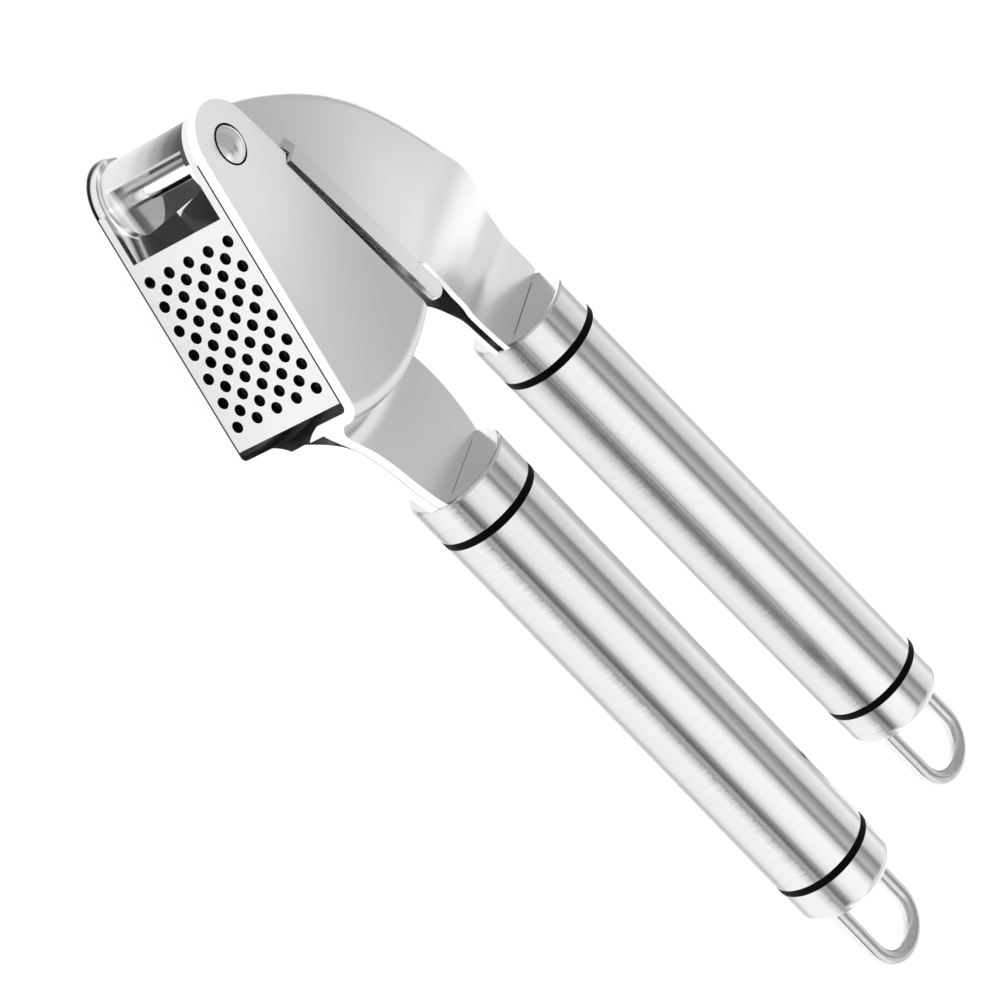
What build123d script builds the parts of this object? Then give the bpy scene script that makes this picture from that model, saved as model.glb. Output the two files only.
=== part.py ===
from build123d import *
import os
from math import acos, asin, atan2, cos, degrees, radians, sin, sqrt

# Garlic press lying on its side.  X runs along the lower handle towards the
# tails, Y runs in the plane of the press towards the upper handle, and Z is
# the pivot axis.  Everything is drawn about the pivot and moved to its
# resting place at the end.  All sizes are millimetres.

# ---- driving dimensions: press head ----
CHAMBER_ANGLE = -20.2        # sieve plane, turned from the handle axis
BASE_DROP = 8.4              # pivot to the sieve's underside
HEAD_RADIUS = 51.3           # pivot to the outside of the frame's back wall
HANDLE_DIAMETER = 21.0
FRAME_HALF = 14.3            # mid-plane to the frame's outer face
FRAME_SHEET = 2.0
FRAME_BEND = 3.0             # outside bend between side and back wall
FRAME_EAR = BASE_DROP        # ear radius of the frame, level with the base edge
FLANGE_LOW = 7.4             # mid-plane to where the back wall folds into the neck
SHOULDER = (10.4, 9.2)       # top of the ear, where the recess begins
RECESS_FRONT = (11.5, 7.3)
RECESS_BACK_ANGLE = 10.2     # top of the back wall, seen from the pivot

# ---- driving dimensions: lower neck, both sheets side by side ----
NECK_GAP = 0.1               # between the two sheets
NECK_MEET = 6.5              # outside of the back wall to where the sheets run side by side
NECK_GRIP = 0.3              # neck edge inside the head cap's rim
NECK_HOOK = (0.35, -1.0)     # direction in which the back wall leaves the fold
NECK_TOP = [(HEAD_RADIUS + 6.7, 11.6), (HEAD_RADIUS + 14.7, 12.0)]
NECK_LOW = [
    (HEAD_RADIUS + 0.1, -17.9), (HEAD_RADIUS + 5.6, -14.8),
    (HEAD_RADIUS + 10.7, -13.3), (HEAD_RADIUS + 16.7, -12.2),
]

# ---- driving dimensions: basket with its sieve ----
SIDE_CLEARANCE = 0.3         # between nested sheets at the pivot
BASKET_SHEET = 1.5
BASKET_EAR = 7.9
BASKET_BACK_CLEARANCE = 1.8  # between the back walls of basket and frame
BASKET_RADIUS = HEAD_RADIUS - FRAME_SHEET - BASKET_BACK_CLEARANCE
SIEVE_FRONT = 9.7            # pivot to the sieve's front edge, along the sieve
BASKET_RIM_DROP = 0.6        # basket rim below the frame's recess edge
LIP_BEND = 5.0               # outside radius of the front lip
LIP_TURN = 50.0              # how far the front lip is rolled up, degrees
HOLE_DIAMETER = 2.2
HOLE_ROWS = 13
HOLES_IN_LONG_ROW = 5
ROW_PITCH = 2.42
HOLE_PITCH = 4.72
FIRST_ROW = 13.6             # pivot to the first row of holes, along the sieve

# ---- driving dimensions: upper lever ----
LEVER_SHEET = 1.2
LEVER_EAR = 7.2
LEVER_FRONT_ANGLE = 220.0    # front edge of the web, seen from the pivot
LEVER_EAR_TURN = 25.0        # from the start of the web to the start of the ear's arc, degrees
LEVER_EAR_END = 320.0        # end of the ear's arc, seen from the pivot
LEVER_TOP = [(-4.6, 8.0), (5.2, 24.0), (21.0, 39.8), (42.0, 49.2), (60.0, 53.9)]
LEVER_TOP_AT_CAP = HANDLE_DIAMETER / 2 + 0.5  # handle axis to the web, at the head cap
LEVER_LOW = [
    (HEAD_RADIUS - 4.5, 21.2), (HEAD_RADIUS - 2.5, 23.6), (HEAD_RADIUS + 0.7, 25.2),
    (HEAD_RADIUS + 4.7, 27.8), (HEAD_RADIUS + 9.1, 30.3), (HEAD_RADIUS + 13.0, 31.7),
    (HEAD_RADIUS + 17.1, 32.4),
]
LEVER_LOW_AT_CAP = HANDLE_DIAMETER / 2 + 0.4  # handle axis to the lower edge, at the head cap
# along X: share of the way from the pinched neck to the full channel
LEVER_NARROWING = [
    (HEAD_RADIUS - 11.3, 1.0), (HEAD_RADIUS - 5.3, 0.94), (HEAD_RADIUS + 0.7, 0.7),
    (HEAD_RADIUS + 5.2, 0.45), (HEAD_RADIUS + 9.7, 0.2), (HEAD_RADIUS + 13.7, 0.08),
    (HEAD_RADIUS + 17.7, 0.0),
]
LEVER_OVERLAP = 0.5          # neck and tang run into each other
CHANNEL_DROP = 20.0          # the channel's cavity reaches this far below the pivot
DOME_ROUND = 2.5
JOGGLE_RISE = 4.3            # height over which the wall steps out to the rim
SLOT_START = HEAD_RADIUS - 18.3  # along the rim, where the slot frees its tail
RIM_ANGLE = 4.8              # slope of the stop rim
RIM_START = (12.0, 8.9)      # lower front corner of the rim
RIM_LENGTH = HEAD_RADIUS - 12.3
RIM_HEIGHT = 3.9
RIM_CORNER = 1.6
RIM_INSET = 0.6              # wall starts behind the rim's front end
WALL_RISE = 3.2              # top of the rim to the lower edge of the channel's wall
PINCH_GAP = 1.4              # between the two walls where they are pinched

# ---- driving dimensions: plunger ----
PLUNGER_CLEARANCE = 0.5      # to the basket's walls
PLUNGER_LIFT = 2.4           # above the sieve, handles at rest
PLUNGER_SHEET = 1.5
PLUNGER_DEPTH = 9.0
PLUNGER_FRONT = 12.8         # pivot to the plunger's front wall
BRACKET_SHEET = 1.5
BRACKET_SPAN = (18.0, 34.0)  # bracket from front to back, along the sieve
BRACKET_HEIGHT = 16.0

# ---- driving dimensions: pivot ----
SHANK_DIAMETER = 3.0
SPACER_DIAMETER = 4.2
RUNNING_CLEARANCE = 0.05
RIVET_HEAD_DIAMETER = 7.2
RIVET_HEAD_HEIGHT = 1.6

# ---- driving dimensions: handles ----
HANDLE_WALL = 0.8
TUBE_LENGTH = 96.4
RING_WIDTH = 1.7
HEAD_CAP_LENGTH = 8.0
TAIL_CAP_LENGTH = 8.6
CAP_WALL = 1.5
SPIGOT_LENGTH = 6.0
SPIGOT_CLEARANCE = 0.05
CAP_ROUND = 0.6              # edge of the head cap
TAIL_ROUND = 2.6
LOWER_HEAD_X = HEAD_RADIUS + 24.7  # pivot to the lower handle's head face
UPPER_HEAD = (HEAD_RADIUS + 25.3, 44.4)  # centre of the upper handle's head face
UPPER_TILT = 1.7             # upper handle against the lower one, degrees
TANG_HALF_HEIGHT = HANDLE_DIAMETER / 3
TANG_LENGTH = 5.0
TANG_CLEARANCE = 0.1

# ---- driving dimensions: hanging loops ----
WIRE_DIAMETER = 3.4
LOOP_HALF_WIDTH = HANDLE_DIAMETER / 3  # handle axis to the wire's centre line
LOOP_REACH = 20.4            # tail face to the outside of the loop
LOOP_ROLL = {"lower": 12.0, "upper": 12.0}
LOOP_EMBED = 4.5             # wire inside the tail cap

BIG = 200.0                  # larger than the whole press, for cutting


def polar(radius, angle):
    """Point at a radius and an angle in degrees about the pivot."""
    return (radius * cos(radians(angle)), radius * sin(radians(angle)))


def along_sieve(u, n):
    """Point u along the sieve and n above it, from the pivot."""
    c, s = cos(radians(CHAMBER_ANGLE)), sin(radians(CHAMBER_ANGLE))
    return (u * c - n * s, u * s + n * c)


def pivot_arc(radius, start, end):
    """Arc about the pivot from one angle to another."""
    return ThreePointArc(polar(radius, start), polar(radius, (start + end) / 2), polar(radius, end))


def tangent_angle(point, radius, side):
    """Angle at which a line from the point touches a circle about the pivot."""
    distance = sqrt(point[0] ** 2 + point[1] ** 2)
    return degrees(atan2(point[1], point[0])) + side * degrees(acos(radius / distance))


def slab(face, low, high):
    """Face in the press plane, extruded between two heights along the pivot axis."""
    return extrude(Pos(0, 0, low) * face, amount=high - low)


def drum(radius, low, high, centre=(0, 0)):
    """Cylinder along the pivot axis between two heights."""
    return Pos(centre[0], centre[1], (low + high) / 2) * Cylinder(radius, high - low)


def plan_band(start, curve, end):
    """Tall solid between mirrored plan curves: straight, then narrowing, then straight.

    The curve's points are (x, half width); start and end are where it is cut off.
    """
    edges = [
        Line((start, curve[0][1]), curve[0]),
        Spline(curve, tangents=((1, 0), (1, 0))),
        Line(curve[-1], (end, curve[-1][1])),
        Polyline((end, curve[-1][1]), (end, 0), (start, 0), (start, curve[0][1])),
    ]
    standing = Rot(90, 0, 0) * make_face(edges)
    half = extrude(Pos(0, BIG, 0) * standing, amount=2 * BIG, dir=(0, -1, 0))
    return half + mirror(half, about=Plane.XY)


# ---- frame: two pressed halves that carry the lower handle ----

def frame_side_face():
    """Outline of one frame side: ear, base edge, round back and recessed top."""
    base_back = asin(-BASE_DROP / HEAD_RADIUS)
    back_low = CHAMBER_ANGLE + degrees(base_back)
    ear_low = CHAMBER_ANGLE - 90
    ear_top = tangent_angle(SHOULDER, FRAME_EAR, 1)
    corner = along_sieve(sqrt(HEAD_RADIUS**2 - BASE_DROP**2), -BASE_DROP)
    return make_face([
        Line(along_sieve(0, -BASE_DROP), corner),
        pivot_arc(HEAD_RADIUS, back_low, RECESS_BACK_ANGLE),
        Line(polar(HEAD_RADIUS, RECESS_BACK_ANGLE), RECESS_FRONT),
        Line(RECESS_FRONT, SHOULDER),
        Line(SHOULDER, polar(FRAME_EAR, ear_top)),
        pivot_arc(FRAME_EAR, ear_top, ear_low + 360),
    ])


NECK_HALF = FRAME_SHEET + NECK_GAP / 2


def neck_side_face():
    """Side outline of the lower neck, from the head to the handle's head cap."""
    grip = HANDLE_DIAMETER / 2 - NECK_GRIP
    corner = along_sieve(sqrt(HEAD_RADIUS**2 - BASE_DROP**2) - FRAME_SHEET, -BASE_DROP)
    crest = polar(HEAD_RADIUS - FRAME_SHEET, RECESS_BACK_ANGLE)
    tang_end = LOWER_HEAD_X + TANG_LENGTH
    tang = TANG_HALF_HEIGHT
    return make_face([
        Spline(crest, *NECK_TOP, (LOWER_HEAD_X, grip)),
        Polyline((LOWER_HEAD_X, grip), (LOWER_HEAD_X, tang), (tang_end, tang),
                 (tang_end, -tang), (LOWER_HEAD_X, -tang), (LOWER_HEAD_X, -grip)),
        Spline(corner, *NECK_LOW, (LOWER_HEAD_X, -grip)),
        Line(corner, crest),
    ])


def turned_band(radius, low, meet, half):
    """Solid turned about the pivot: from the back wall it narrows to the neck's half thickness."""
    end = LOWER_HEAD_X + 2 * TANG_LENGTH
    narrowing = Spline((radius, low), (meet, half), tangents=(NECK_HOOK, (1, 0)))
    face = Rot(90, 0, 0) * make_face([
        Line((radius, FRAME_HALF), (radius, low)),
        narrowing,
        Polyline((meet, half), (end, half), (end, 0), (0, 0), (0, FRAME_HALF), (radius, FRAME_HALF)),
    ])
    return revolve(face, axis=Axis.Z)


def frame_plate_near():
    """Near half of the frame: side plate, round back wall and half of the neck."""
    head = slab(frame_side_face(), 0, FRAME_HALF)
    rim = [
        e for e in head.edges().filter_by(GeomType.CIRCLE)
        if abs(e.radius - HEAD_RADIUS) < 0.01 and e.center().Z > FRAME_HALF - 0.01
    ]
    head = fillet(rim, FRAME_BEND)
    meet = HEAD_RADIUS + NECK_MEET
    neck = slab(neck_side_face(), 0, FRAME_HALF - FRAME_BEND) & turned_band(
        HEAD_RADIUS, FLANGE_LOW, meet, NECK_HALF
    )
    hollow = drum(HEAD_RADIUS - FRAME_SHEET, -1, FRAME_HALF - FRAME_SHEET)
    inner_edge = hollow.edges().filter_by(GeomType.CIRCLE).sort_by(Axis.Z)[-1]
    hollow = fillet(inner_edge, FRAME_BEND - FRAME_SHEET)
    throat = turned_band(
        HEAD_RADIUS - FRAME_SHEET, FLANGE_LOW - FRAME_SHEET, meet, NECK_HALF - FRAME_SHEET
    ) & drum(BIG, 0, FLANGE_LOW)
    shell = (head + neck) - hollow - throat
    bore = drum(SHANK_DIAMETER / 2 + RUNNING_CLEARANCE, 0, FRAME_HALF + 1)
    return shell - bore


# ---- basket: two side walls, floor with the sieve holes, round back, front lip ----

def basket():
    """Basket that swings out of the frame for cleaning."""
    half = FRAME_HALF - FRAME_SHEET - SIDE_CLEARANCE
    top_back = RECESS_BACK_ANGLE - degrees(BASKET_RIM_DROP / BASKET_RADIUS)
    back_low = degrees(asin(-BASE_DROP / BASKET_RADIUS))
    front_top = (RECESS_FRONT[0], RECESS_FRONT[1] - BASKET_RIM_DROP)
    ear_top = tangent_angle(front_top, BASKET_EAR, 1)
    ear_low = CHAMBER_ANGLE - 90 + 360
    side = make_face([
        Line(along_sieve(0, -BASE_DROP), along_sieve(sqrt(BASKET_RADIUS**2 - BASE_DROP**2), -BASE_DROP)),
        pivot_arc(BASKET_RADIUS, CHAMBER_ANGLE + back_low, top_back),
        Line(polar(BASKET_RADIUS, top_back), front_top),
        Line(front_top, polar(BASKET_EAR, ear_top)),
        pivot_arc(BASKET_EAR, ear_top, ear_low),
        Line(polar(BASKET_EAR, ear_low), along_sieve(0, -BASE_DROP)),
    ])
    inner_half = half - BASKET_SHEET
    walls = slab(side, -half, half) - slab(side, -inner_half, inner_half)
    back = slab(side, -inner_half, inner_half) - drum(BASKET_RADIUS - BASKET_SHEET, -BIG, BIG)
    return walls + back + basket_floor(inner_half) - pivot_bore(half)


def basket_floor(inner_half):
    """Perforated floor and the rolled front lip."""
    back = sqrt(BASKET_RADIUS**2 - BASE_DROP**2) - BASKET_SHEET / 2
    length = back - SIEVE_FRONT
    floor = Pos(SIEVE_FRONT + length / 2, -BASE_DROP + BASKET_SHEET / 2, 0) * Box(
        length, BASKET_SHEET, 2 * inner_half
    )
    centre = (SIEVE_FRONT, -BASE_DROP + LIP_BEND)
    ring = drum(LIP_BEND, -inner_half, inner_half, centre) - drum(
        LIP_BEND - BASKET_SHEET, -BIG, BIG, centre
    )
    wedge = Polygon(
        (0, 0), (0, -2 * LIP_BEND),
        (-2 * LIP_BEND * sin(radians(LIP_TURN)), -2 * LIP_BEND * cos(radians(LIP_TURN))),
        align=None,
    )
    lip = ring & (Pos(centre[0], centre[1], 0) * slab(wedge, -BIG, BIG))
    return Rot(0, 0, CHAMBER_ANGLE) * (floor + lip - sieve_holes())


def sieve_holes():
    """Staggered rows of round holes, long and short rows in turn."""
    holes = []
    for row in range(HOLE_ROWS):
        count = HOLES_IN_LONG_ROW - row % 2
        for k in range(count):
            across = (k - (count - 1) / 2) * HOLE_PITCH
            centre = (FIRST_ROW + row * ROW_PITCH, -BASE_DROP, across)
            holes.append(Pos(*centre) * Rot(90, 0, 0) * Cylinder(HOLE_DIAMETER / 2, 4 * BASKET_SHEET))
    return holes


def pivot_bore(half):
    """Running bore through both ears."""
    return drum(SHANK_DIAMETER / 2 + RUNNING_CLEARANCE, -half - 1, half + 1)


# ---- upper lever: domed channel, stop rims, pinched neck and tang ----

LEVER_HALF = FRAME_HALF - FRAME_SHEET - 2 * SIDE_CLEARANCE - BASKET_SHEET
PINCH_HALF = LEVER_SHEET + PINCH_GAP / 2


def lever_plan():
    """Half width of the lever along X, from the full channel down to the pinched neck."""
    return [(x, PINCH_HALF + share * (LEVER_HALF - PINCH_HALF)) for x, share in LEVER_NARROWING]


def lever_cap_point(side):
    """Point on the web (side 1) or the lower edge (side -1) where the lever meets its head cap."""
    reach = LEVER_TOP_AT_CAP if side > 0 else -LEVER_LOW_AT_CAP
    return (UPPER_HEAD[0] + LEVER_OVERLAP, UPPER_HEAD[1] + reach)


def rim_frame():
    """Axes of the stop rim: X along it, Y up from its lower edge."""
    return Pos(RIM_START[0], RIM_START[1], 0) * Rot(0, 0, RIM_ANGLE)


def rim_point(s, rise):
    """Point along the rim and above its lower edge, about the pivot."""
    c, t = cos(radians(RIM_ANGLE)), sin(radians(RIM_ANGLE))
    return (RIM_START[0] + s * c - rise * t, RIM_START[1] + s * t + rise * c)


def lever_top_curve(inset):
    """Top outline of the lever, moved inwards by the inset."""
    curve = Spline(*LEVER_TOP, lever_cap_point(1))
    if inset == 0:
        return curve
    points = []
    steps = 2 * len(LEVER_TOP)
    for k in range(steps + 1):
        u = k / steps
        along = curve % u
        points.append(curve @ u + inset * Vector(along.Y, -along.X))
    return Spline(points)


def lever_side_face():
    """Side outline of the lever, from its ear over the dome to the handle."""
    ear_start = degrees(atan2(LEVER_TOP[0][1], LEVER_TOP[0][0]))
    arc_start = ear_start + LEVER_EAR_TURN
    wall_front = rim_point(RIM_INSET, RIM_HEIGHT + WALL_RISE)
    wall_back = rim_point(SLOT_START, RIM_HEIGHT + WALL_RISE)
    return make_face([
        Line(LEVER_TOP[0], polar(LEVER_EAR, arc_start)),
        pivot_arc(LEVER_EAR, arc_start, LEVER_EAR_END),
        Polyline(polar(LEVER_EAR, LEVER_EAR_END), wall_front, wall_back, LEVER_LOW[0]),
        Spline(*LEVER_LOW, lever_cap_point(-1)),
        Line(lever_cap_point(-1), lever_cap_point(1)),
        lever_top_curve(0),
    ])


def lever_inner_face():
    """Cavity outline: the dome's inside, open downwards."""
    top = lever_top_curve(LEVER_SHEET)
    start, end = top @ 0, top @ 1
    below = [(end.X, -CHANNEL_DROP), (start.X, -CHANNEL_DROP)]
    return make_face([top, Polyline((end.X, end.Y), *below, (start.X, start.Y))])


def lever_rim():
    """Stop rim on the near side: the wall stepped out over the basket and frame."""
    out, sheet = FRAME_HALF, LEVER_SHEET
    strip = Pos(RIM_LENGTH / 2, RIM_HEIGHT / 2, out - sheet / 2) * Box(RIM_LENGTH, RIM_HEIGHT, sheet)
    tail = strip.edges().filter_by(Axis.Z).group_by(Axis.X)[-1]
    strip = fillet(tail, RIM_CORNER)
    top = RIM_HEIGHT + JOGGLE_RISE
    section = Polygon(
        (out, RIM_HEIGHT - sheet), (out, RIM_HEIGHT), (LEVER_HALF, top),
        (LEVER_HALF - sheet, top), (LEVER_HALF - sheet, top - sheet), (out - sheet, RIM_HEIGHT - sheet),
        align=None,
    )
    across = Plane(origin=(0, 0, 0), x_dir=(0, 0, 1), z_dir=(-1, 0, 0))
    joggle = extrude(across * section, amount=-SLOT_START)
    return rim_frame() * (strip + joggle)


def lever_shell():
    """Domed channel of the upper lever with its ears, rims, slots and tang."""
    side = lever_side_face()
    outer = slab(side, -LEVER_HALF, LEVER_HALF)
    outer = fillet(dome_edges(outer), DOME_ROUND)
    handle_place = Pos(*UPPER_HEAD) * Rot(0, 0, UPPER_TILT)
    tang = handle_place * Pos(TANG_LENGTH / 2 - LEVER_OVERLAP, 0, 0) * Box(
        TANG_LENGTH + 2 * LEVER_OVERLAP, 2 * TANG_HALF_HEIGHT, 2 * PINCH_HALF
    )
    inner_half = LEVER_HALF - LEVER_SHEET
    inner = slab(lever_inner_face(), -inner_half, inner_half)
    inner = fillet(dome_edges(inner), DOME_ROUND - LEVER_SHEET)
    end = UPPER_HEAD[0] + 2 * TANG_LENGTH
    outer = outer & plan_band(-BIG, lever_plan(), end)
    inner_plan = [(x, half - LEVER_SHEET) for x, half in lever_plan()]
    inner = inner & plan_band(-BIG, inner_plan, end)
    below_web = Rot(0, 0, LEVER_FRONT_ANGLE) * Pos(0, BIG / 2, 0) * Box(BIG, BIG, BIG)
    mouth = drum(LEVER_EAR - LEVER_SHEET, -inner_half, inner_half)
    front = drum(LEVER_EAR + SIDE_CLEARANCE, -inner_half, inner_half) & below_web
    beyond = handle_place * Pos(BIG / 2, 0, 0) * Box(BIG, BIG, BIG)
    shell = outer - front - mouth - inner - beyond + tang
    near_rim = lever_rim()
    shell = shell + near_rim + mirror(near_rim, about=Plane.XY)
    return shell - pivot_bore(LEVER_HALF)


def dome_edges(solid):
    """The long edges along the top outline and the straight ones at the front that lead into them."""
    half = solid.bounding_box().max.Z
    flat = [e for e in solid.edges() if abs(abs(e.center().Z) - half) < 0.01]
    lower_edge = lever_cap_point(-1)[1]
    top = [e for e in flat if e.geom_type == GeomType.BSPLINE and e.center().Y > lower_edge]
    lead = [e for e in flat if e.geom_type == GeomType.LINE and e.bounding_box().max.X < 0]
    return top + lead


# ---- plunger and its bracket ----

def plunger():
    """Pressed pan that squeezes the clove, its walls round about the pivot."""
    half = LEVER_HALF + SIDE_CLEARANCE - PLUNGER_CLEARANCE
    floor_level = -BASE_DROP + BASKET_SHEET + PLUNGER_LIFT
    outer = plunger_block(half, floor_level, floor_level + PLUNGER_DEPTH, 0)
    inner = plunger_block(half - PLUNGER_SHEET, floor_level + PLUNGER_SHEET, BIG, PLUNGER_SHEET)
    return Rot(0, 0, CHAMBER_ANGLE) * (outer - inner)


def plunger_block(half, low, high, inset):
    """Block between two arcs about the pivot and between two levels above the sieve."""
    back = BASKET_RADIUS - BASKET_SHEET - PLUNGER_CLEARANCE - inset
    front = PLUNGER_FRONT + inset
    block = Pos(BIG / 2, (low + high) / 2, 0) * Box(BIG, high - low, 2 * half)
    return (block & drum(back, -half, half)) - drum(front, -BIG, BIG)


def plunger_bracket():
    """Folded bracket that carries the plunger inside the lever's channel."""
    half = LEVER_HALF - LEVER_SHEET
    level = -BASE_DROP + BASKET_SHEET + PLUNGER_LIFT + PLUNGER_SHEET
    front, back = BRACKET_SPAN
    length, sheet = back - front, BRACKET_SHEET
    inside = half - PLUNGER_SHEET
    middle = (front + back) / 2
    outer = Pos(middle, level + BRACKET_HEIGHT / 2, 0) * Box(length, BRACKET_HEIGHT, 2 * inside)
    inner = Pos(middle, level + sheet + BRACKET_HEIGHT / 2, 0) * Box(
        length + 2, BRACKET_HEIGHT, 2 * (inside - sheet)
    )
    return Rot(0, 0, CHAMBER_ANGLE) * (outer - inner)


# ---- pivot ----

def pivot_rivet():
    """Rivet through both frame ears, with a domed head on each side."""
    shank = drum(SHANK_DIAMETER / 2, -FRAME_HALF, FRAME_HALF)
    radius = RIVET_HEAD_DIAMETER / 2
    dome_radius = (radius**2 + RIVET_HEAD_HEIGHT**2) / (2 * RIVET_HEAD_HEIGHT)
    ball = Pos(0, 0, FRAME_HALF + RIVET_HEAD_HEIGHT - dome_radius) * Sphere(dome_radius)
    head = ball & drum(BIG, FRAME_HALF, FRAME_HALF + BIG)
    return shank + head + mirror(head, about=Plane.XY)


def pivot_spacer():
    """Sleeve that keeps the lever's ears apart."""
    half = LEVER_HALF - LEVER_SHEET
    sleeve = drum(SPACER_DIAMETER / 2, -half, half)
    return sleeve - drum(SHANK_DIAMETER / 2 + RUNNING_CLEARANCE, -BIG, BIG)


# ---- handles, drawn along X from the head face ----

def along_x(radius, start, end):
    """Cylinder along the handle axis."""
    return Pos((start + end) / 2, 0, 0) * Rot(0, 90, 0) * Cylinder(radius, end - start)


def head_cap(tang_half):
    """Cap that closes the tube's head end and takes the tang."""
    radius, spigot = HANDLE_DIAMETER / 2, spigot_radius()
    cap = along_x(radius, 0, HEAD_CAP_LENGTH)
    cap = fillet(cap.edges().filter_by(GeomType.CIRCLE).sort_by(Axis.X)[0], CAP_ROUND)
    cap += along_x(spigot, HEAD_CAP_LENGTH, HEAD_CAP_LENGTH + RING_WIDTH + SPIGOT_LENGTH)
    cap -= along_x(spigot - CAP_WALL, CAP_WALL, BIG)
    slot_half = TANG_HALF_HEIGHT + TANG_CLEARANCE
    return cap - Box(2 * CAP_WALL + 1, 2 * slot_half, 2 * (tang_half + TANG_CLEARANCE))


def spigot_radius():
    """Radius of the part of a cap that enters the tube."""
    return HANDLE_DIAMETER / 2 - HANDLE_WALL - SPIGOT_CLEARANCE


def ring(start):
    """Black band between a cap and the tube."""
    bore = along_x(spigot_radius() + SPIGOT_CLEARANCE, start - 1, start + RING_WIDTH + 1)
    return along_x(HANDLE_DIAMETER / 2, start, start + RING_WIDTH) - bore


def tube(start):
    """Brushed handle tube."""
    radius = HANDLE_DIAMETER / 2
    return along_x(radius, start, start + TUBE_LENGTH) - along_x(radius - HANDLE_WALL, 0, BIG)


def tail_cap(start, roll):
    """Round-ended cap with two holes for the loop's wire."""
    radius = HANDLE_DIAMETER / 2
    end = start + TAIL_CAP_LENGTH
    cap = along_x(radius, start, end)
    cap = fillet(cap.edges().filter_by(GeomType.CIRCLE).sort_by(Axis.X)[-1], TAIL_ROUND)
    cap += along_x(spigot_radius(), start - RING_WIDTH - SPIGOT_LENGTH, start)
    cap -= along_x(spigot_radius() - CAP_WALL, -BIG, end - CAP_WALL - TAIL_ROUND / 2)
    for side in (-1, 1):
        hole = Pos(0, side * LOOP_HALF_WIDTH, 0) * along_x(WIRE_DIAMETER / 2 + SPIGOT_CLEARANCE, 0, BIG)
        cap -= Rot(roll, 0, 0) * hole
    return cap


def hanging_loop(face, roll):
    """Wire loop that hangs the press, its arms held in the tail cap."""
    start = face - LOOP_EMBED
    bend = face + LOOP_REACH - WIRE_DIAMETER / 2 - LOOP_HALF_WIDTH
    w = LOOP_HALF_WIDTH
    path = Wire([
        Line((start, -w), (bend, -w)),
        ThreePointArc((bend, -w), (bend + w, 0), (bend, w)),
        Line((bend, w), (start, w)),
    ])
    section = Plane(origin=(start, -w, 0), z_dir=(1, 0, 0)) * Circle(WIRE_DIAMETER / 2)
    return Rot(roll, 0, 0) * sweep(section, path=path)


def handle(name, placement, tang_half):
    """All pieces of one handle, named and put in place."""
    first_ring = HEAD_CAP_LENGTH
    tube_start = first_ring + RING_WIDTH
    second_ring = tube_start + TUBE_LENGTH
    tail_start = second_ring + RING_WIDTH
    roll = LOOP_ROLL[name]
    pieces = {
        "head_cap": head_cap(tang_half),
        "head_ring": ring(first_ring),
        "tube": tube(tube_start),
        "tail_ring": ring(second_ring),
        "tail_cap": tail_cap(tail_start, roll),
        "hanging_loop": hanging_loop(tail_start + TAIL_CAP_LENGTH, roll),
    }
    return {f"{name}_{piece}": placement * solid for piece, solid in pieces.items()}


# ---- the whole press ----

def garlic_press():
    """Every node of the press, drawn about the pivot."""
    near = frame_plate_near()
    parts = {
        "frame_plate_near": near,
        "frame_plate_far": mirror(near, about=Plane.XY),
        "sieve_basket": basket(),
        "upper_lever_shell": lever_shell(),
        "plunger_pan": plunger(),
        "plunger_bracket": plunger_bracket(),
        "pivot_rivet": pivot_rivet(),
        "pivot_spacer": pivot_spacer(),
    }
    parts |= handle("lower", Pos(LOWER_HEAD_X, 0, 0), NECK_HALF)
    parts |= handle("upper", Pos(*UPPER_HEAD) * Rot(0, 0, UPPER_TILT), PINCH_HALF)
    return parts


def resting_place(parts):
    """Move from the pivot to the centre of the base of the whole press."""
    box = Compound(children=[copy_of(p) for p in parts.values()]).bounding_box()
    return Pos(-(box.min.X + box.max.X) / 2, -(box.min.Y + box.max.Y) / 2, -box.min.Z)


def copy_of(piece):
    """Separate copy of a piece, so that measuring leaves the original alone."""
    return Compound(piece.wrapped)


def main():
    """Build the press and write each node."""
    os.makedirs("parts", exist_ok=True)
    parts = garlic_press()
    place = resting_place(parts)
    print("pivot at", place.position)
    for name, piece in parts.items():
        export_step(place * piece, f"parts/{name}.step")


main()
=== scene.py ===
import logging
import math
from dataclasses import dataclass, field, replace
from enum import Enum
from typing import Any, Union

import bpy
from mathutils import Matrix, Vector


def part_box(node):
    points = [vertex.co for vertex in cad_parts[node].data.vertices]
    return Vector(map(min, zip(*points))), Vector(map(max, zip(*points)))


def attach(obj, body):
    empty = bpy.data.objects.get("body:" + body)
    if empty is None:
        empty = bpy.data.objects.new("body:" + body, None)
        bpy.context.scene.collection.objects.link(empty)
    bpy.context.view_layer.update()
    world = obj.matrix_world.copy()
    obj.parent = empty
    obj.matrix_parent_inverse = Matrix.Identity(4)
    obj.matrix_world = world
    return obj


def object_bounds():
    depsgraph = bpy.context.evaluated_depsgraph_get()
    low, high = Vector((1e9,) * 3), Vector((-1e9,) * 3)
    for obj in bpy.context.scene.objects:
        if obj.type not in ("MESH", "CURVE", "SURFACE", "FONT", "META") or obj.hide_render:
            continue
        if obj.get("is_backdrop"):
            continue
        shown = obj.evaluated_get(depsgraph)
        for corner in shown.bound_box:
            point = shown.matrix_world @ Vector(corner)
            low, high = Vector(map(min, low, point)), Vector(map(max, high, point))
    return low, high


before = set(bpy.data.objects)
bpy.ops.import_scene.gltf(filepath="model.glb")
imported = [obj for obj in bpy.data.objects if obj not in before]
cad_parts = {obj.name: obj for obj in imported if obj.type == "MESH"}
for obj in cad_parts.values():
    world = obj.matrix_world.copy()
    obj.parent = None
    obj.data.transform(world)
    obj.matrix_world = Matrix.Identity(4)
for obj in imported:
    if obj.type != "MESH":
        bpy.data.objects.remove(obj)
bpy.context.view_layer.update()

MM = 0.001
BLACK = (0.0, 0.0, 0.0)
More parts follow.
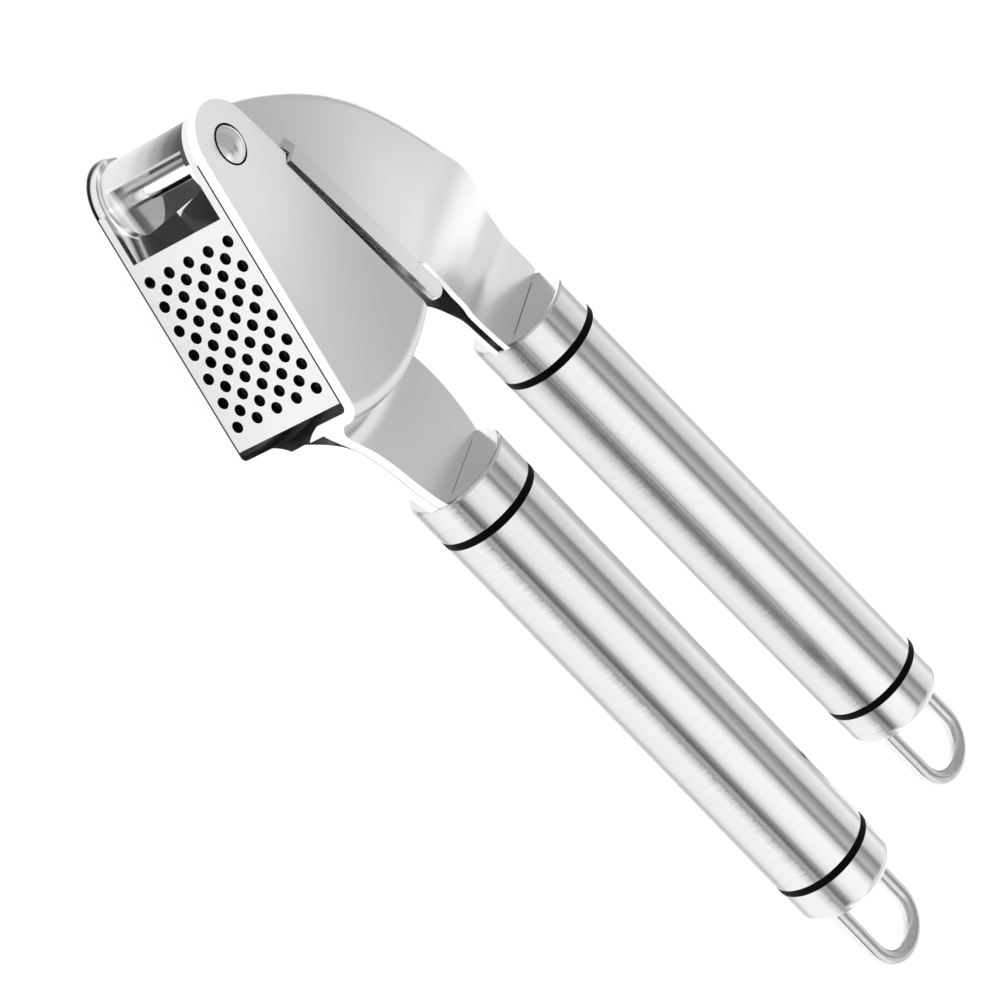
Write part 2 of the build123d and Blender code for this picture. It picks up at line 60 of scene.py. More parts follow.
WHITE = (1.0, 1.0, 1.0, 1.0)
EVEN = (1.0, 1.0, 1.0)
FULL_TURN = 2 * math.pi
EDGE_SAMPLES = 6
EDGE_SHARPNESS = 5.0
UPPER_TURN = math.radians(1.7)
UPPER_LEAN = math.radians(-4.0)
UPPER_REFLECTION_SHIFT = 5.0
log = logging.getLogger("garlic_press")

Value = Union[float, "Signal"]
Colour = Union[tuple[float, float, float], "Signal"]


# ---------------------------------------------------------------------------
# Shader bench
# ---------------------------------------------------------------------------


class Signal:
    """A value socket of a node tree that arithmetic can be written on."""

    def __init__(self, bench: "Bench", socket: bpy.types.NodeSocket) -> None:
        """Keeps the socket and the bench whose tree it belongs to.

        Args:
            bench: the bench that adds the nodes.
            socket: an output socket.
        """
        self.bench = bench
        self.socket = socket

    def _math(self, operation: str, first: Value, second: Value) -> "Signal":
        """Adds one Math node.

        Args:
            operation: the node's operation.
            first: the upper input.
            second: the lower input.

        Returns:
            The node's result.
        """
        sockets = {0: first, 1: second}
        return self.bench.add("ShaderNodeMath", {"operation": operation}, sockets)

    def __add__(self, other: Value) -> "Signal":
        """self + other."""
        return self._math("ADD", self, other)

    def __radd__(self, other: Value) -> "Signal":
        """other + self."""
        return self._math("ADD", other, self)

    def __sub__(self, other: Value) -> "Signal":
        """self - other."""
        return self._math("SUBTRACT", self, other)

    def __rsub__(self, other: Value) -> "Signal":
        """other - self."""
        return self._math("SUBTRACT", other, self)

    def __mul__(self, other: Value) -> "Signal":
        """self * other."""
        return self._math("MULTIPLY", self, other)

    def __rmul__(self, other: Value) -> "Signal":
        """other * self."""
        return self._math("MULTIPLY", other, self)

    def __truediv__(self, other: Value) -> "Signal":
        """self / other."""
        return self._math("DIVIDE", self, other)

    def __rtruediv__(self, other: Value) -> "Signal":
        """other / self."""
        return self._math("DIVIDE", other, self)

    def __pow__(self, other: Value) -> "Signal":
        """self to the power of other."""
        return self._math("POWER", self, other)

    def larger(self, other: Value) -> "Signal":
        """The larger of the two values."""
        return self._math("MAXIMUM", self, other)

    def smaller(self, other: Value) -> "Signal":
        """The smaller of the two values."""
        return self._math("MINIMUM", self, other)

    def exponent(self) -> "Signal":
        """e to the power of the value."""
        return self._math("EXPONENT", self, 0.0)

    def size(self) -> "Signal":
        """The value without its sign."""
        return self._math("ABSOLUTE", self, 0.0)

    def turn_from(self, run: Value) -> "Signal":
        """The angle in radians of a slope with this rise and the given run."""
        return self._math("ARCTAN2", self, run)

    def above(self, limit: float) -> "Signal":
        """1 where the value is over the limit, else 0."""
        return self._math("GREATER_THAN", self, limit)

    def below(self, limit: float) -> "Signal":
        """1 where the value is under the limit, else 0."""
        return self._math("LESS_THAN", self, limit)

    def clamped(self) -> "Signal":
        """The value held between 0 and 1."""
        return self.larger(0.0).smaller(1.0)


class Bench:
    """Adds and links the nodes of one material or world."""

    def __init__(self, tree: bpy.types.NodeTree) -> None:
        """Clears the tree.

        Args:
            tree: the node tree to build in.
        """
        self.tree = tree
        tree.nodes.clear()

    def add(
        self,
        kind: str,
        settings: dict[str, Any] | None = None,
        sockets: dict[str | int, Any] | None = None,
        out: str | int = 0,
    ) -> Signal:
        """Adds one node.

        Args:
            kind: the node's type.
            settings: its properties, and "stops" for a ramp's (place, grey) pairs.
            sockets: values or signals for its inputs, by name or number.
            out: the output that is returned, by name or number.

        Returns:
            One output of the node.
        """
        node = self.tree.nodes.new(kind)
        for name, value in (settings or {}).items():
            if name == "stops":
                self._fill_ramp(node.color_ramp, value)
            else:
                setattr(node, name, value)
        for name, value in (sockets or {}).items():
            if isinstance(value, Signal):
                self.tree.links.new(value.socket, node.inputs[name])
            else:
                node.inputs[name].default_value = value
        return Signal(self, node.outputs[out])

    @staticmethod
    def _fill_ramp(ramp: bpy.types.ColorRamp, stops: list[tuple[float, float]]) -> None:
        """Sets the stops of a smooth grey ramp.

        Args:
            ramp: the ramp.
            stops: (place from 0 to 1, grey level) pairs in rising order.
        """
        ramp.interpolation = "EASE"
        while len(ramp.elements) < len(stops):
            ramp.elements.new(1.0)
        for element, (place, level) in zip(ramp.elements, stops):
            element.position = place
            element.color = (level, level, level, 1.0)

    def finish(self, kind: str, surface: Signal) -> None:
        """Ends the tree with its output node.

        Args:
            kind: the type of the output node.
            surface: the shader that it shows.
        """
        node = self.tree.nodes.new(kind)
        self.tree.links.new(surface.socket, node.inputs[0])

    def place(self) -> Signal:
        """The position on the piece, in metres of the shared frame."""
        return self.add("ShaderNodeTexCoord", out="Object")

    def out_of(self, signal: Signal, name: str) -> Signal:
        """Another output of the node that a signal comes from."""
        return Signal(self, signal.socket.node.outputs[name])

    def measured_from(self, place: Signal, point: tuple[float, float, float]) -> Signal:
        """The position, measured from a point."""
        return self.add("ShaderNodeVectorMath", {"operation": "SUBTRACT"}, {0: place, 1: point})

    def parts(self, vector: Signal) -> tuple[Signal, Signal, Signal]:
        """The X, Y and Z parts of a vector."""
        x = self.add("ShaderNodeSeparateXYZ", None, {0: vector}, out="X")
        return x, self.out_of(x, "Y"), self.out_of(x, "Z")

    def stretched(
        self, place: Signal, scale: tuple[float, float, float], turn: float = 0.0
    ) -> Signal:
        """Stretches positions so that a pattern runs in a direction.

        Args:
            place: the position.
            scale: cycles per metre along each axis.
            turn: an angle about Z, in radians, that the piece is turned by.

        Returns:
            The stretched position.
        """
        turned = self.add(
            "ShaderNodeVectorRotate", {"rotation_type": "Z_AXIS"},
            {"Vector": place, "Angle": -turn},
        )
        return self.add("ShaderNodeVectorMath", {"operation": "MULTIPLY"}, {0: turned, 1: scale})

    def ramp(self, place: Signal, stops: list[tuple[float, float]]) -> Signal:
        """Looks a value up on a smooth ramp.

        Args:
            place: where on the ramp, from 0 to 1.
            stops: (place, level) pairs in rising order.

        Returns:
            The level.
        """
        return self.add("ShaderNodeValToRGB", {"stops": stops}, {0: place})

    def grain(self, place: Signal, detail: float = 2.0, rough: float = 0.5) -> Signal:
        """Cloudy noise from 0 to 1.

        Args:
            place: the stretched position.
            detail: how many finer layers it has.
            rough: how strong the finer layers are.

        Returns:
            The noise.
        """
        return self.add(
            "ShaderNodeTexNoise", {"noise_dimensions": "3D"},
            {"Vector": place, "Scale": 1.0, "Detail": detail, "Roughness": rough},
        )

    def grey(self, dark: Colour, light: Colour, mask: Signal) -> Signal:
        """Mixes two colours.

        Args:
            dark: the colour where the mask is 0.
            light: the colour where it is 1.
            mask: the mask.

        Returns:
            The colour.
        """
        ends = [
            colour if isinstance(colour, Signal) else (*colour, 1.0) for colour in (dark, light)
        ]
        return self.add(
            "ShaderNodeMix", {"data_type": "RGBA"}, {"Factor": mask, 6: ends[0], 7: ends[1]}, out=2
        )

    def bumped(self, height: Signal, distance: float, normal: Signal) -> Signal:
        """Bends a normal by a height.

        Args:
            height: the height.
            distance: how many metres a height of 1 stands for.
            normal: the normal to start from.

        Returns:
            The bent normal.
        """
        sockets = {"Strength": 1.0, "Distance": distance, "Height": height, "Normal": normal}
        return self.add("ShaderNodeBump", None, sockets)

    def edges(self, radius: float) -> tuple[Signal, Signal]:
        """Finds the rounded edges of the piece.

        Args:
            radius: the radius of the rounding, in metres.

        Returns:
            The rounded normal, and a mask that is 1 on the edges.
        """
        rounded = self.add("ShaderNodeBevel", {"samples": EDGE_SAMPLES}, {"Radius": radius})
        flat = self.add("ShaderNodeNewGeometry", out="Normal")
        alike = self.add(
            "ShaderNodeVectorMath", {"operation": "DOT_PRODUCT"},
            {0: rounded, 1: flat}, out="Value",
        )
        return rounded, ((1.0 - alike) * EDGE_SHARPNESS).clamped()


def blank_material(name: str) -> tuple[bpy.types.Material, Bench]:
    """Makes an empty material.

    Args:
        name: the material's name.

    Returns:
        The material, and the bench that builds its tree.
    """
    material = bpy.data.materials.new(name)
    material.use_nodes = True
    return material, Bench(material.node_tree)


# ---------------------------------------------------------------------------
# Finishes
# ---------------------------------------------------------------------------


class Grain(Enum):
    """The way in which the brush marks of a finish run."""

    ROUND_HANDLE = "round the handle"
    ALONG_HANDLE = "along the handle"
    CLOUDY = "no direction"


@dataclass(frozen=True)
class SteelFinish:
    """A stainless steel finish: brushed, satin or polished."""

    name: str
    dark: tuple[float, float, float]
    light: tuple[float, float, float]
    roughness: tuple[float, float]
    grain: Grain
    pitch: float
    length: float
    bump: float
    turn: float = 0.0
    edge_radius: float = 0.12 * MM
    edge_tone: float = 0.93
    edge_roughness: float = 0.12
    dent: float = 0.0
    dent_spread: float = 28.0 * MM
    dent_place: tuple[float, float] = (0.0, 0.0)
    lean: float = 0.0
    mark_contrast: float = 1.6
    scuff_scale: float = 90.0
    scuff_tone: float = 0.25
    scuff_roughness: float = 0.06
    edge_share: float = 0.6
    least_roughness: float = 0.02

    def scale(self) -> tuple[float, float, float]:
        """Cycles per metre of the brush marks along each axis."""
        fine = 1.0 / self.pitch
        slow = 1.0 / self.length
        return {
            Grain.ROUND_HANDLE: (fine, slow, slow),
            Grain.ALONG_HANDLE: (slow, fine, fine),
            Grain.CLOUDY: (fine, fine, fine),
        }[self.grain]

    def material(self) -> bpy.types.Material:
        """Makes the material.

        Returns:
            The material.
        """
        material, bench = blank_material(self.name)
        place = bench.place()
        brushed = bench.stretched(place, self.scale(), self.turn)
        marks = bench.grain(brushed, detail=3.0, rough=0.65)
        worn = bench.stretched(place, (self.scuff_scale,) * 3)
        scuffs = bench.grain(worn, detail=4.0, rough=0.6) - 0.5
        normal, edge = bench.edges(self.edge_radius)
        if self.dent:
            normal = self.dented(bench, place, normal)
        tone = ((marks - 0.5) * self.mark_contrast + 0.5 + scuffs * self.scuff_tone).clamped()
        # The colour is lightened towards edge_tone on the rounded edges.
        edge_lightening = (edge * self.edge_tone).clamped()
        steel = bench.grey(self.dark, self.light, tone)
        bright = bench.grey(BLACK, (self.edge_tone,) * 3, edge_lightening)
        lit = bench.add(
            "ShaderNodeMix", {"data_type": "RGBA", "blend_type": "LIGHTEN"},
            {"Factor": edge_lightening * self.edge_share, 6: steel, 7: bright}, out=2,
        )
        colour = self.tuned(bench, place, lit, marks)
        low, high = self.roughness
        rough = marks * (high - low) + low + scuffs * self.scuff_roughness
        rough = rough.larger(self.least_roughness) * (1.0 - edge) + edge * self.edge_roughness
        bent = bench.bumped(marks * (1.0 - edge), self.bump, normal)
        if self.lean:
            bent = bench.add(
                "ShaderNodeVectorRotate", {"rotation_type": "X_AXIS"},
                {"Vector": bent, "Angle": self.lean},
            )
        sockets = {"Base Color": colour, "Metallic": 1.0, "Roughness": rough, "Normal": bent}
        glow = self.glow(bench, place)
        if glow:
            sockets["Emission Color"] = glow
            sockets["Emission Strength"] = 1.0
        shader = bench.add("ShaderNodeBsdfPrincipled", None, sockets)
        bench.finish("ShaderNodeOutputMaterial", shader)
        return material

    def dented(self, bench: Bench, place: Signal, normal: Signal) -> Signal:
        """Bends the flat sheet's normal as a wide dent or bulge would, by up to 9 degrees.

        Args:
            bench: the material's bench.
            place: the position.
            normal: the normal to start from.

        Returns:
            The bent normal.
        """
        x, y, _ = bench.parts(place)
        off = (x - self.dent_place[0]) ** 2.0 + (y - self.dent_place[1]) ** 2.0
        height = (off * (-0.5 / self.dent_spread**2)).exponent() * -self.dent
        return bench.bumped(height, 1.0, normal)

    def tuned(self, bench: Bench, place: Signal, colour: Signal, marks: Signal) -> Signal:
        """The colour as it is; a finish with painted shade changes it here."""
        return colour

    def glow(self, bench: Bench, place: Signal) -> Signal | None:
        """No light; a finish with painted light in its hollows adds it here."""
        return None


@dataclass(frozen=True)
class TubeFinish(SteelFinish):
    """Brushed steel of a round handle, with two dark reflections painted along it."""

    axis: tuple[float, float, float] = (0.0, 0.0, 0.0)
    radius: float = 9.9 * MM
    reflection_shift: float = 0.0
    ragged: float = 12.0
    painted_reflections: tuple[tuple[float, float], ...] = (
        # painted reflections: angle round the handle in degrees, from +Y over +Z; share of the
        # colour
        (0, 1.0), (150, 1.0), (155, 0.9), (160, 0.42), (165, 0.30), (170, 0.60), (176, 0.77),
        (198, 0.79), (204, 0.70), (209, 0.44), (215, 0.42), (221, 0.68), (230, 0.86), (240, 1.0),
    )

    def tuned(self, bench: Bench, place: Signal, colour: Signal, marks: Signal) -> Signal:
        """Paints the dark reflections along the handle.

        Args:
            bench: the material's bench.
            place: the position.
            colour: the colour of the steel.
            marks: the brush marks, which make the painted reflections ragged.

        Returns:
            The colour with its painted reflections.
        """
        middle = bench.measured_from(place, self.axis)
        _, y, z = bench.parts(bench.stretched(middle, EVEN, self.turn))
        angle = (-1.0 * z).turn_from(-1.0 * y)
        ragged = (marks - 0.5) * math.radians(self.ragged)
        share = bench.ramp(
            (angle + ragged - math.radians(self.reflection_shift)) / FULL_TURN + 0.5,
            [(turn / 360, level) for turn, level in self.painted_reflections],
        )
        round_side = (y * y + z * z).above(self.radius**2)
        return bench.grey(BLACK, colour, share * round_side + 1.0 - round_side)


@dataclass(frozen=True)
class LeverFinish(SteelFinish):
    """The satin sheet of the lever, with painted shade on its front and light in its mouth."""

    pivot: tuple[float, float, float] = (0.0, 0.0, 0.0)
    front: float = 3.2 * MM
    front_reach: float = 7.6 * MM
    front_shade: tuple[tuple[float, float], ...] = (
        # painted shade: place across the front, from the far side to the near side; share of the
        # colour
        (0.0, 0.82), (0.35, 0.72), (0.55, 0.55), (0.72, 0.34), (0.85, 0.16), (1.0, 0.08),
    )
    shade_slant: float = 18.0
    half_width: float = 10.4 * MM
    mouth_reach: float = 7.15 * MM
    painted_bounce: tuple[tuple[float, float], ...] = (
        # painted light: place from the pivot's height down to the sieve; level of light
        (0.0, 0.30), (0.22, 0.05), (0.42, 0.02), (0.55, 0.30), (0.72, 0.62), (0.9, 0.45),
        (1.0, 0.05),
    )
    bounce_forward: float = 25.0
    bounce_across: float = 8.0

    def tuned(self, bench: Bench, place: Signal, colour: Signal, marks: Signal) -> Signal:
        """Paints shade on the front of the web.

        Args:
            bench: the material's bench.
            place: the position.
            colour: the colour of the sheet.
            marks: the brush marks, which the shade doesn't use.

        Returns:
            The colour with painted shade on its front.
        """
        x, y, z = self.from_pivot(bench, place)
        around = (x * x + y * y) ** 0.5
        front = x.below(-self.front) * around.below(self.front_reach)
        across = z / (2 * self.half_width) + 0.5 - y * self.shade_slant
        share = bench.ramp(across, list(self.front_shade))
        return bench.grey(BLACK, colour, share * front + 1.0 - front)

    def from_pivot(self, bench: Bench, place: Signal) -> tuple[Signal, Signal, Signal]:
        """The position's three parts, measured from the pivot."""
        return bench.parts(bench.measured_from(place, self.pivot))

    def glow(self, bench: Bench, place: Signal) -> Signal | None:
        """Paints light on the ears' inner faces, round the pivot.

        Args:
            bench: the material's bench.
            place: the position.

        Returns:
            The light.
        """
        x, y, z = self.from_pivot(bench, place)
        around = (x * x + y * y) ** 0.5
        inside = around.below(self.mouth_reach) * z.size().below(self.half_width)
        down = -1.0 * y / self.mouth_reach - x * self.bounce_forward + z * self.bounce_across
        return bench.grey(BLACK, bench.ramp(down, list(self.painted_bounce)), inside)


@dataclass(frozen=True)
class SieveFinish(SteelFinish):
    """The satin sheet of the sieve, painted dark in its holes and lit at its mouth."""

    pivot: tuple[float, float, float] = (0.0, 0.0, 0.0)
    turned: float = math.radians(-20.2)
    outside: float = -8.4 * MM
    inside: float = -6.95 * MM
    reach: tuple[float, float] = (11.0 * MM, 45.4 * MM)
    hole_tone: float = 0.01
    rim: float = 0.12 * MM
    wall: tuple[float, float] = (10.4 * MM, 10.6 * MM)
    wall_back: float = 11.5 * MM
    wall_rise: tuple[float, float] = (-7.2 * MM, 1.6 * MM)
    slant: float = 0.22
    painted_bounce: tuple[tuple[float, float], ...] = (
        # painted light: place up the wall's inner face, from the sieve to above the pivot; level
        # of light
        (0.0, 0.06), (0.10, 0.30), (0.24, 0.62), (0.34, 0.30), (0.40, 0.02), (0.50, 0.10),
        (0.60, 0.42), (0.70, 0.04), (1.0, 0.0),
    )

    def tuned(self, bench: Bench, place: Signal, colour: Signal, marks: Signal) -> Signal:
        """Paints shade on the walls of the holes.

        Args:
            bench: the material's bench.
            place: the position.
            colour: the colour of the sheet.
            marks: the brush marks, which the holes don't use.

        Returns:
            The colour with painted shade in its holes.
        """
        along, up, _ = self.from_pivot(bench, place)
        deep = up.above(self.outside + self.rim) * up.below(self.inside)
        in_sieve = along.above(self.reach[0]) * along.below(self.reach[1])
        return bench.grey((self.hole_tone,) * 3, colour, 1.0 - deep * in_sieve)

    def from_pivot(self, bench: Bench, place: Signal) -> tuple[Signal, Signal, Signal]:
        """The position along the sieve, above it and across it, measured from the pivot."""
        middle = bench.measured_from(place, self.pivot)
        return bench.parts(bench.stretched(middle, EVEN, self.turned))

    def glow(self, bench: Bench, place: Signal) -> Signal | None:
        """Paints light on the walls' inner faces, at the mouth.

        Args:
            bench: the material's bench.
            place: the position.

        Returns:
            The light.
        """
        along, up, across = self.from_pivot(bench, place)
        low, high = self.wall_rise
        off_middle = across.size()
        inner_face = off_middle.above(self.wall[0]) * off_middle.below(self.wall[1])
        at_mouth = inner_face * along.below(self.wall_back) * up.above(low)
        rise = (up + along * self.slant - low) / (high - low)
        return bench.grey(BLACK, bench.ramp(rise, list(self.painted_bounce)), at_mouth)


@dataclass(frozen=True)
class BandFinish:
    """The satin black of the handle rings."""

    name: str = "black_band"
    dark: tuple[float, float, float] = (0.0005, 0.0005, 0.0005)
    light: tuple[float, float, float] = (0.002, 0.002, 0.0021)
    scale: tuple[float, float, float] = (2500.0, 900.0, 900.0)
    roughness: tuple[float, float] = (0.42, 0.56)
    gloss: float = 0.03
    bump: float = 4e-6
    edge_radius: float = 0.15 * MM

    def material(self) -> bpy.types.Material:
        """Makes the material.

        Returns:
            The material.
        """
        material, bench = blank_material(self.name)
        fine = bench.grain(bench.stretched(bench.place(), self.scale), detail=3.0, rough=0.6)
        normal, _ = bench.edges(self.edge_radius)
        low, high = self.roughness
        shader = bench.add(
            "ShaderNodeBsdfPrincipled", None,
            {
                "Base Color": bench.grey(self.dark, self.light, fine),
                "Roughness": fine * (high - low) + low,
                "Specular IOR Level": self.gloss,
                "Normal": bench.bumped(fine, self.bump, normal),
            },
        )
        bench.finish("ShaderNodeOutputMaterial", shader)
        return material


@dataclass(frozen=True)
class FloorFinish:
    """The pale floor under the press."""

    name: str = "pale_floor"
    dark: tuple[float, float, float] = (0.90, 0.90, 0.90)
    light: tuple[float, float, float] = (0.92, 0.92, 0.92)
    cloud_scale: float = 3.0
    roughness: float = 0.9
    glow: float = 0.5

    def material(self) -> bpy.types.Material:
        """Makes the material.

        Returns:
            The material.
        """
        material, bench = blank_material(self.name)
        cloud = bench.grain(bench.stretched(bench.place(), (self.cloud_scale,) * 3))
        shader = bench.add(
            "ShaderNodeBsdfPrincipled", None,
            {
                "Base Color": bench.grey(self.dark, self.light, cloud),
                "Roughness": self.roughness,
                "Emission Color": WHITE,
                "Emission Strength": self.glow,
            },
        )
        bench.finish("ShaderNodeOutputMaterial", shader)
        return material


def dress(node: str, material: bpy.types.Material, slot: str) -> None:
    """Puts a finish on a CAD node.

    Args:
        node: the node's name.
        material: the finish.
        slot: the record's slot that it stands for.
    """
    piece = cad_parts[node]
    piece.data.materials.clear()
    piece.data.materials.append(material)
    log.info("%s: %s (%s)", node, material.name, slot)


# ---------------------------------------------------------------------------
# Sub-assemblies
# ---------------------------------------------------------------------------


@dataclass
class Press:
    """The whole press, which turns about its rivet."""

    pivot: Vector = field(init=False)

    def __post_init__(self) -> None:
        """Reads the pivot's place from the rivet."""
        low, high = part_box("pivot_rivet")
        self.pivot = (low + high) / 2


@dataclass
class LowerHead:
    """The two frame plates and the rivet."""

    pivot: Vector
    plate: SteelFinish = SteelFinish(
        "satin_plate", (0.78, 0.78, 0.78), (0.84, 0.84, 0.84), (0.26, 0.34), Grain.CLOUDY,
        0.16 * MM, 0.16 * MM, 1.0e-6, dent=7.5 * MM, dent_place=(-0.080, -0.020),
    )
    rivet: SteelFinish = SteelFinish(
        "polished_rivet", (0.76, 0.76, 0.77), (0.84, 0.84, 0.85), (0.16, 0.22), Grain.CLOUDY,
        0.5 * MM, 0.5 * MM, 1.0e-6,
    )
    seat_inner: float = 3.55 * MM
    seat_outer: float = 3.9 * MM
    seat_height: float = 0.06 * MM
    seat_steps: int = 72

    def seat(self, side: int) -> None:
        """Lays a flat dark ring round the rivet's head, which stands for the seam's shade.

        Args:
            side: 1 for the upper plate, -1 for the lower one.
        """
        plate_low, plate_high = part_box("frame_plate_near" if side > 0 else "frame_plate_far")
        level = plate_high.z if side > 0 else plate_low.z
        count = self.seat_steps
        points = []
        for rise in (0.0, self.seat_height):
            for radius in (self.seat_inner, self.seat_outer):
                for step in range(count):
                    turn = FULL_TURN * step / count
                    x = self.pivot.x + radius * math.cos(turn)
                    y = self.pivot.y + radius * math.sin(turn)
                    points.append((x, y, level + side * rise))
        rings = [0, count, 3 * count, 2 * count]
        faces = []
        for step in range(count):
            after = (step + 1) % count
            for near, far in zip(rings, rings[1:] + rings[:1]):
                corners = (near + step, near + after, far + after, far + step)
                faces.append(corners if side < 0 else corners[::-1])
        name = "rivet_seat_near" if side > 0 else "rivet_seat_far"
        mesh = bpy.data.meshes.new(name)
        mesh.from_pydata(points, [], faces)
        seat = bpy.data.objects.new(name, mesh)
        mesh.materials.append(BandFinish("seat_shadow").material())
        bpy.context.collection.objects.link(seat)
        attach(seat, "lower_handle")
        log.info("%s laid", name)

    def dress(self) -> None:
        """Dresses the plates and the rivet."""
        self.seat(1)
        self.seat(-1)
        satin = self.plate.material()
        for side in ("near", "far"):
            dress(f"frame_plate_{side}", satin, "satin_steel")
        dress("pivot_rivet", self.rivet.material(), "polished_steel")


@dataclass
class Basket:
    """The perforated basket."""

    pivot: Vector

    def dress(self) -> None:
        """Dresses the basket."""
        sheet = SieveFinish(
            "satin_sieve", (0.60, 0.60, 0.60), (0.66, 0.66, 0.66), (0.18, 0.28), Grain.CLOUDY,
            0.15 * MM, 0.15 * MM, 0.8e-6, pivot=tuple(self.pivot),
        )
        dress("sieve_basket", sheet.material(), "satin_steel")


@dataclass
class UpperLever:
    """The domed lever, the plunger with its bracket, and the spacer on the rivet."""

    pivot: Vector
    shell: LeverFinish = LeverFinish(
        "satin_lever", (0.78, 0.78, 0.78), (0.84, 0.84, 0.84), (0.26, 0.34), Grain.CLOUDY,
        0.2 * MM, 0.2 * MM, 0.8e-6, dent=-6.0 * MM, dent_place=(-0.078, 0.008),
    )
    polished: SteelFinish = SteelFinish(
        "polished_steel", (0.74, 0.74, 0.75), (0.86, 0.86, 0.87), (0.05, 0.11), Grain.CLOUDY,
        0.8 * MM, 0.8 * MM, 0.8e-6,
    )
    # Painted shade: the plunger's pan is near-black, with dark edges, for the shade it sits in
    # inside the basket.
    pan: SteelFinish = SteelFinish(
        "shaded_pan", (0.03, 0.03, 0.03), (0.06, 0.06, 0.06), (0.40, 0.50), Grain.CLOUDY,
        0.5 * MM, 0.5 * MM, 1.0e-6, edge_tone=0.1,
    )

    def dress(self) -> None:
        """Dresses the lever and its plunger."""
        polished = self.polished.material()
        shell = replace(self.shell, pivot=tuple(self.pivot))
        dress("upper_lever_shell", shell.material(), "satin_steel")
        dress("plunger_pan", self.pan.material(), "satin_steel")
        dress("plunger_bracket", polished, "satin_steel")
        dress("pivot_spacer", polished, "polished_steel")


@dataclass
class Handle:
    """One round handle with its caps, rings and hanging loop."""

    name: str
    turn: float = 0.0
    lean: float = 0.0
    reflection_shift: float = 0.0

    def dress(self) -> None:
        """Dresses the handle's pieces."""
        low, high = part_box(f"{self.name}_tube")
        brushed = TubeFinish(
            f"{self.name}_brushed", (0.74, 0.74, 0.74), (0.84, 0.84, 0.84), (0.12, 0.20),
            Grain.ROUND_HANDLE, 0.13 * MM, 5.0 * MM, 7.0e-6, turn=self.turn, lean=self.lean,
            reflection_shift=self.reflection_shift, axis=tuple((low + high) / 2),
        ).material()
        polished = SteelFinish(
            f"{self.name}_wire", (0.58, 0.58, 0.59), (0.70, 0.70, 0.71), (0.12, 0.20),
            Grain.CLOUDY, 0.7 * MM, 0.7 * MM, 1.0e-6,
        ).material()
        band = BandFinish(f"{self.name}_band").material()
        for part in ("head_cap", "tube", "tail_cap"):
            dress(f"{self.name}_{part}", brushed, "brushed_steel")
        for part in ("head_ring", "tail_ring"):
            dress(f"{self.name}_{part}", band, "black_ring")
        dress(f"{self.name}_hanging_loop", polished, "polished_steel")


# ---------------------------------------------------------------------------
# Studio
# ---------------------------------------------------------------------------


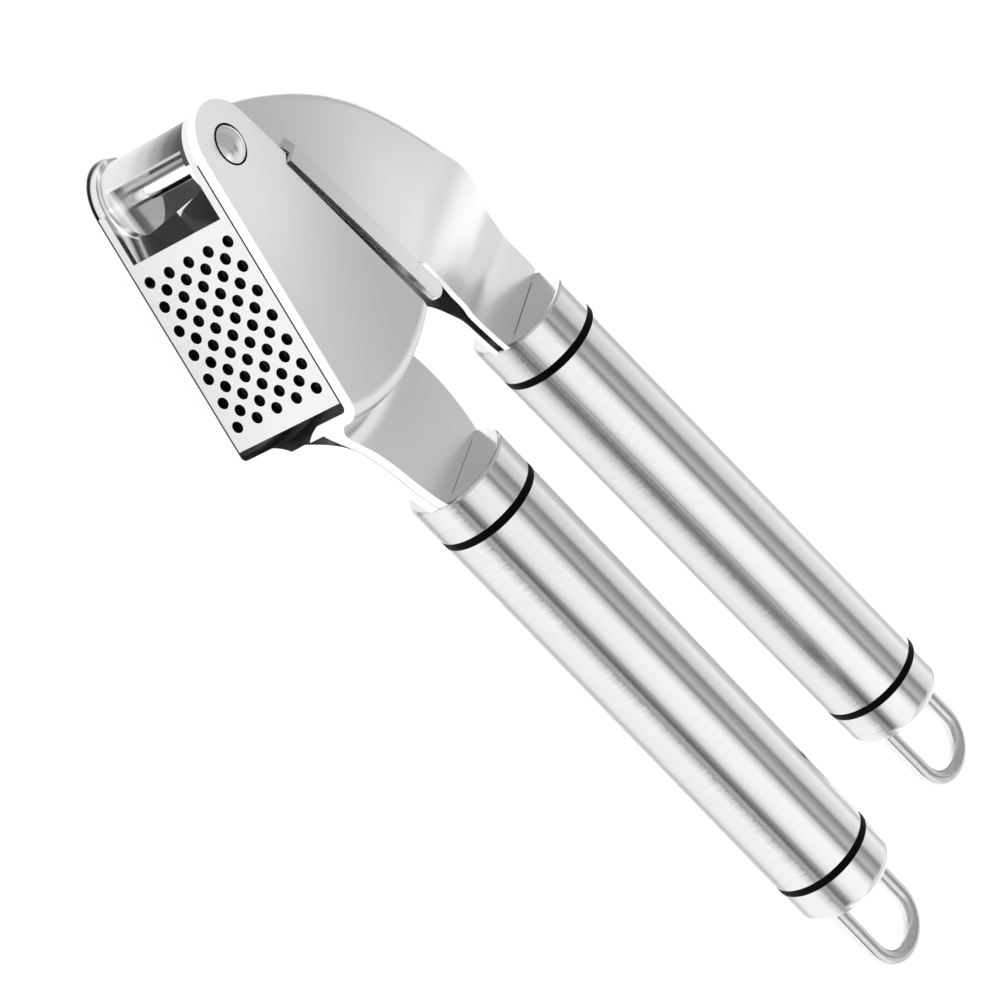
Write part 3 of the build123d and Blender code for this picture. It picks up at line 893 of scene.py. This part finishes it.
@dataclass
class Studio:
    """Pale floor, long soft lights beside the handles and a wash of light on the floor."""

    reach: float = 3.0
    wash_power: float = 16.0
    wash_size: float = 2.2
    wash_height: float = 1.6
    strips: tuple[tuple[float, float], ...] = (
        # angle about the handles' axis in degrees, from +Y over +Z to -Y; level of light
        (-180, 0.9), (-12, 0.75), (2, 0.55), (12, 0.62), (26, 0.95), (45, 0.80), (58, 0.70),
        (68, 0.22), (78, 0.36), (89, 0.55), (98, 0.20), (107, 0.75), (118, 1.05), (148, 1.0),
        (160, 0.80), (168, 0.28), (178, 0.12), (180, 0.12),
    )
    falloff: tuple[tuple[float, float], ...] = (
        # direction along the handles, from the head's side to the tails; share of light
        (-1.0, 0.55), (0.15, 0.58), (0.32, 0.72), (0.46, 1.0), (1.0, 1.0),
    )
    strip_middle: float = 0.47
    strip_half: float = 0.10
    strip_fade: float = 0.15
    open_level: float = 0.75
    brightness: float = 1.15
    floor_gap: float = 0.05 * MM

    def build(self) -> None:
        """Makes the floor, the world and the lamp."""
        self.floor()
        self.world()
        self.wash()

    def floor(self) -> None:
        """Lays the floor under the lowest point of the press."""
        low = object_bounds()[0]
        mesh = bpy.data.meshes.new("floor")
        r = self.reach
        mesh.from_pydata([(-r, -r, 0), (r, -r, 0), (r, r, 0), (-r, r, 0)], [], [(0, 1, 2, 3)])
        floor = bpy.data.objects.new("floor", mesh)
        floor.location.z = low[2] - self.floor_gap
        mesh.materials.append(FloorFinish().material())
        bpy.context.collection.objects.link(floor)
        floor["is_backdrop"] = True

    def world(self) -> None:
        """Surrounds the press with long soft lights that run along the handles."""
        world = bpy.data.worlds.new("studio")
        bpy.context.scene.world = world
        world.use_nodes = True
        bench = Bench(world.node_tree)
        toward = bench.add("ShaderNodeTexCoord", out="Generated")
        along, y, z = bench.parts(toward)
        strips = bench.ramp(
            z.turn_from(y) / FULL_TURN + 0.5, [(a / 360 + 0.5, level) for a, level in self.strips]
        )
        off_middle = ((along - self.strip_middle).size() - self.strip_half) / self.strip_fade
        ends = off_middle.clamped()
        lit = strips * (1.0 - ends) + strips.larger(self.open_level) * ends
        share = bench.ramp(along * 0.5 + 0.5, [(x / 2 + 0.5, level) for x, level in self.falloff])
        strength = lit * share * self.brightness
        light = bench.add("ShaderNodeBackground", None, {"Color": WHITE, "Strength": strength})
        bench.finish("ShaderNodeOutputWorld", light)

    def wash(self) -> None:
        """Hangs a wide lamp over the press that brightens the floor."""
        lamp = bpy.data.lights.new("wash", "AREA")
        lamp.shape = "DISK"
        lamp.size = self.wash_size
        lamp.energy = self.wash_power
        hung = bpy.data.objects.new("wash", lamp)
        hung.location = (0.0, 0.0, self.wash_height)
        hung.visible_glossy = False
        bpy.context.collection.objects.link(hung)


@dataclass
class ViewingCamera:
    """The camera, placed from the pivot."""

    pivot: Vector
    eye: tuple[float, float, float] = (-0.2729, -0.61475, 0.50907)
    aim: tuple[float, float, float] = (0.087628, 0.003613, 0.0)
    roll: float = math.radians(-64.919)
    lens: float = 176.84
    sensor: float = 36.0
    farthest: float = 20.0

    def build(self) -> None:
        """Adds the camera and makes it the scene's own."""
        data = bpy.data.cameras.new("camera")
        data.lens = self.lens
        data.sensor_width = self.sensor
        data.clip_end = self.farthest
        camera = bpy.data.objects.new("camera", data)
        eye = self.pivot + Vector(self.eye)
        aim = self.pivot + Vector(self.aim)
        ahead = (aim - eye).normalized()
        level = ahead.cross(Vector((0, 0, 1))).normalized()
        above = level.cross(ahead)
        up = above * math.cos(self.roll) + level * math.sin(self.roll)
        right = ahead.cross(up)
        axes = Matrix((right, up, -ahead)).transposed().to_4x4()
        camera.matrix_world = Matrix.Translation(eye) @ axes
        bpy.context.collection.objects.link(camera)
        bpy.context.scene.camera = camera


def main() -> None:
    """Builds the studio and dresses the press."""
    logging.basicConfig(level=logging.INFO, format="%(name)s %(message)s")
    bpy.context.scene.view_settings.view_transform = "Standard"
    press = Press()
    LowerHead(press.pivot).dress()
    Basket(press.pivot).dress()
    UpperLever(press.pivot).dress()
    Handle("lower").dress()
    Handle("upper", UPPER_TURN, UPPER_LEAN, UPPER_REFLECTION_SHIFT).dress()
    Studio().build()
    ViewingCamera(press.pivot).build()


if __name__ == "__main__":
    main()
